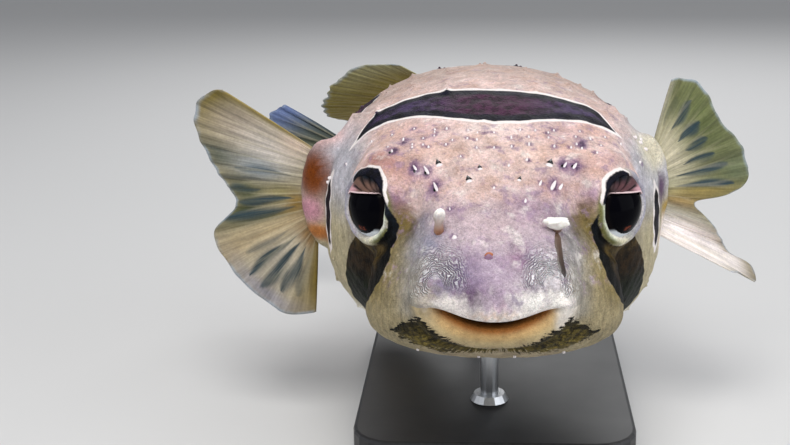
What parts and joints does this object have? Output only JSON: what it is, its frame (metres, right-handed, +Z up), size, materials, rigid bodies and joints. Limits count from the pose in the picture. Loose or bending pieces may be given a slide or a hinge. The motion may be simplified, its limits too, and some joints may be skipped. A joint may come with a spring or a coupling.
{
  "type": "porcupinefish model",
  "caption": "Life-size porcupinefish facing forward with fins spread, spines folded back and tail swung to one side, held by rods on a flat display base.",
  "frame": {"origin": "middle of the underside of the stand's base", "axes": "+Z up, the fish's head points along -Y and its own left side is +X"},
  "size_m": [0.2372, 0.2836, 0.1612],
  "materials": {
    "skin": "moist scaleless skin, pinkish beige with dark white-edged blotches",
    "fin": "translucent olive-yellow fin membrane with grey streaks between the rays",
    "eye": "wet glossy black pupil with a dark brown iris",
    "nose": "soft skin, whitish at the tip",
    "stand_paint": "satin black paint",
    "stand_steel": "brushed steel"
  },
  "bodies": {
    "root": {"head": "skin", "upper_jaw": "skin", "lower_jaw": "skin", "back": "skin", "belly": "skin", "tail_stalk": "skin", "pectoral_lobe_right": "skin", "pectoral_lobe_left": "skin", "pectoral_fin_right": "fin", "pectoral_fin_left": "fin", "dorsal_fin": "fin", "anal_fin": "fin", "tail_fin": "fin", "eye_right": "eye", "eye_left": "eye", "nose_tentacle_right": "nose", "nose_tentacle_left": "nose", "stand_base": "stand_paint", "stand_rod_front": "stand_steel", "stand_rod_rear": "stand_steel"}
  },
  "joints": []
}
